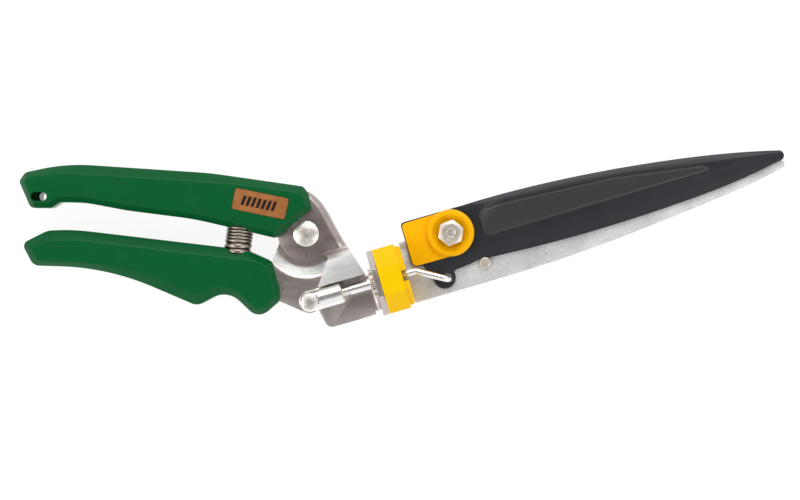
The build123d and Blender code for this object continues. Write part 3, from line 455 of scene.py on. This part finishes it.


# ---- Handle spring ------------------------------------------------------------------------------
# A coil of dark spring wire between the grips. Its turns lie close at the upper end and open
# towards the lower one. The real coil stretches as the handles part; this one is built at rest.
def spring_steel():
    """Oil-hardened wire: dark, smooth, with a warm sheen and drawing lines."""
    finish = Finish("spring_steel", metallic=1.0)
    cloud = finish.noise(0.003, 3.0)
    finish.feed("Base Color", finish.mix(cloud, (0.24, 0.20, 0.165), (0.42, 0.36, 0.31)))
    finish.feed("Roughness", 0.22 + cloud * 0.12)
    finish.bump(finish.noise(0.0003, 2.0), 0.00001, 0.3)
    return finish


SPRING = spring_steel()
spring_low, spring_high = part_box("handle_spring")
spring_middle = (spring_low + spring_high) / 2
spring_lean = math.radians(7)          # of the coil's axis from the y axis
coil_radius = 0.0053
coil_length = 0.0154
wire_radius = 0.00062
wire_sides = 12
steps_per_turn = 40
turns = 9
close_turns = 6.2
close_pitch = 0.00138      # from one close turn to the next
bpy.ops.object.select_all(action="DESELECT")
bpy.ops.mesh.primitive_circle_add(vertices=wire_sides, radius=wire_radius,
                                  location=(coil_radius, 0, 0), rotation=(math.pi / 2, 0, 0))
spring = bpy.context.object
spring.name = "spring_coil"
bpy.ops.object.transform_apply(location=True, rotation=True, scale=True)
apply_modifier(spring, "SCREW", angle=2 * math.pi, screw_offset=close_pitch, iterations=turns,
               steps=steps_per_turn, render_steps=steps_per_turn, use_merge_vertices=False,
               use_normal_calculate=True)
# The open ends of the wire are closed.
bpy.ops.object.mode_set(mode="EDIT")
bpy.ops.mesh.select_all(action="SELECT")
bpy.ops.mesh.remove_doubles(threshold=MERGE_DISTANCE)
bpy.ops.mesh.select_all(action="DESELECT")
bpy.ops.mesh.select_non_manifold()
bpy.ops.mesh.edge_face_add()
bpy.ops.mesh.select_all(action="SELECT")
bpy.ops.mesh.normals_make_consistent(inside=False)
bpy.ops.object.mode_set(mode="OBJECT")
# The turns below the close ones are pulled apart until the coil has its length.
open_height = (turns - close_turns) * close_pitch
open_stretch = (coil_length - close_turns * close_pitch) / open_height
for vertex in spring.data.vertices:
    below = max(open_height - vertex.co.z, 0)
    vertex.co.z -= below * (open_stretch - 1)
# The coil is centred and turned from the z axis to the line between the grips.
heights = [vertex.co.z for vertex in spring.data.vertices]
spring.data.transform(Matrix.Translation((0, 0, -(min(heights) + max(heights)) / 2)))
up = Vector((math.sin(spring_lean), math.cos(spring_lean), 0))
side = Vector((0, 0, 1))
turned = Matrix((side, up.cross(side), up)).transposed().to_4x4()
spring.data.transform(Matrix.Translation(spring_middle) @ turned)
bpy.ops.object.shade_smooth_by_angle(angle=math.radians(50))
paint(spring, SPRING)
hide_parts("handle_spring")
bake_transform(spring)


# ---- Clevis and pull rod ------------------------------------------------------------------------
# Turned from bright steel bar. The clevis straddles the lower frame's arm on its rivet, the rod is
# screwed into it, and a bent wire runs on through the head to the ear of the moving blade.
def bright_bar():
    """Bright turned bar with fine lines round it."""
    finish = Finish("bright_bar", metallic=1.0)
    cloud = finish.noise(0.003, 3.0)
    lines = finish.noise(0.0005, 2.0, stretch=(1, 0.1, 1), turn=math.radians(-16))
    finish.feed("Base Color", finish.mix(cloud, (0.84, 0.84, 0.82), (0.95, 0.95, 0.93)))
    finish.feed("Roughness", 0.15 + lines * 0.12 + cloud * 0.06)
    finish.bump(lines, 0.00001, 0.3)
    return finish


BRIGHT = bright_bar()
paint(NODES["clevis"], BRIGHT)
paint(NODES["clevis_rivet"], POLISHED)
paint(NODES["pull_rod"], BRIGHT)
paint(NODES["hook_wire"], BRIGHT)

# ---- Swivel -------------------------------------------------------------------------------------
# A hollow rivet joins the blade's foot to the flange, with a toothed washer behind the flange and a
# dished spring washer between them, which keeps the head where it is turned to.
paint(NODES["swivel_tube"], ZINC)
paint(NODES["star_washer"], ZINC)
paint(NODES["swivel_spring"], SPRING)


# ---- Swivel collar ------------------------------------------------------------------------------
# An octagonal collar of glossy yellow plastic, as wide across its flats as the steel flange behind
# it. It is moulded round the foot of the fixed blade.
def yellow_plastic(name, low, high):
    """Glossy opaque plastic with faint flow clouds."""
    finish = Finish(name, specular_ior_level=0.12)
    flow = finish.noise(0.008, 3.0)
    grain = finish.noise(0.0004, 2.0)
    finish.feed("Base Color", finish.mix(flow, low, high))
    finish.feed("Roughness", 0.26 + grain * 0.08 + flow * 0.05)
    finish.bump(grain, 0.00001, 0.25)
    return finish


collar = refined("swivel_collar", "swivel_collar_moulding", "head", edge=0.0004,
                 segments=3)
paint(collar, yellow_plastic("collar_yellow", (0.77, 0.44, 0.0), (0.84, 0.50, 0.0)))


# ---- Fixed blade --------------------------------------------------------------------------------
# The lower blade, which stays still on the head. It is stamped from 2 mm stainless sheet and
# glass-bead blasted, so that it is matt with a fine sparkle. Its foot is held in the collar.
def blasted_steel():
    """Light matt steel with a fine bright speckle."""
    finish = Finish("blasted_steel", metallic=0.85)
    speckle = finish.noise(0.00035, 4.0, roughness=0.75)
    cloud = finish.noise(0.01, 3.0)
    tone = finish.ramp(speckle * 0.75 + cloud * 0.25, (0.36, 0.0), (0.62, 1.0))
    finish.feed("Base Color", finish.mix(tone, (0.42, 0.42, 0.415), (0.78, 0.78, 0.77)))
    finish.feed("Roughness", 0.40 + speckle * 0.2)
    finish.bump(speckle, 0.00003, 0.5)
    return finish


fixed_blade = refined("fixed_blade", "fixed_blade_stamped", "head", edge=0.0002)
paint(fixed_blade, blasted_steel())

# ---- Stop pin, bolt, bush and nut ---------------------------------------------------------------
# The stop pin is riveted in the fixed blade. The moving blade turns on a steel bush round an M6
# bolt, under a dished spring washer and a nut with a nylon ring.
paint(NODES["stop_pin"], ZINC)
paint(NODES["blade_bolt"], POLISHED)
paint(NODES["blade_bush"], ZINC)
paint(NODES["disc_spring"], SPRING)
nut = refined("blade_nut", "blade_nut_turned", "head", edge=0.00015)
paint(nut, ZINC)


def natural_nylon():
    """Milky nylon."""
    finish = Finish("natural_nylon", subsurface_weight=0.2)
    cloud = finish.noise(0.002, 2.0)
    finish.feed("Base Color", finish.mix(cloud, (0.70, 0.70, 0.64), (0.82, 0.82, 0.77)))
    finish.feed("Roughness", 0.45 + cloud * 0.1)
    return finish


paint(NODES["nylon_ring"], natural_nylon())


# ---- Moving blade -------------------------------------------------------------------------------
# The upper blade, which the wire swings about the bolt. It is stamped from 2 mm carbon steel with
# a long raised panel, and coated in black non-stick enamel.
panel_slope = 0.0004       # height of the slope round the raised panel


def black_enamel():
    """Satin black coating, fine orange-peel surface; the raised panel gets a painted sheen."""
    finish = Finish("black_enamel", specular_ior_level=0.4)
    peel = finish.noise(0.0006, 3.0)
    cloud = finish.noise(0.015, 3.0)
    raised = finish.height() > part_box("moving_blade")[1].z - panel_slope
    coat = finish.mix(cloud, (0.007, 0.009, 0.012), (0.013, 0.016, 0.020))
    # Painted sheen: the raised panel is coloured lighter than the rest of the coat.
    finish.feed("Base Color", finish.mix(raised, coat, (0.025, 0.026, 0.028)))
    finish.feed("Roughness", 0.30 + peel * 0.10 + cloud * 0.06)
    finish.bump(peel, 0.00002, 0.35)
    return finish


moving_blade = refined("moving_blade", "moving_blade_coated", "cutting_blade",
                       edge=0.0003)
paint(moving_blade, black_enamel())

# ---- Pivot cover --------------------------------------------------------------------------------
# An orange-yellow plastic moulding that lies on the moving blade and turns with it. The nut stands
# in a well in its round boss.
cover = refined("pivot_cover", "pivot_cover_moulding", "cutting_blade", edge=0.0004,
                segments=3)
paint(cover, yellow_plastic("cover_yellow", (0.78, 0.37, 0.0), (0.86, 0.43, 0.0)))
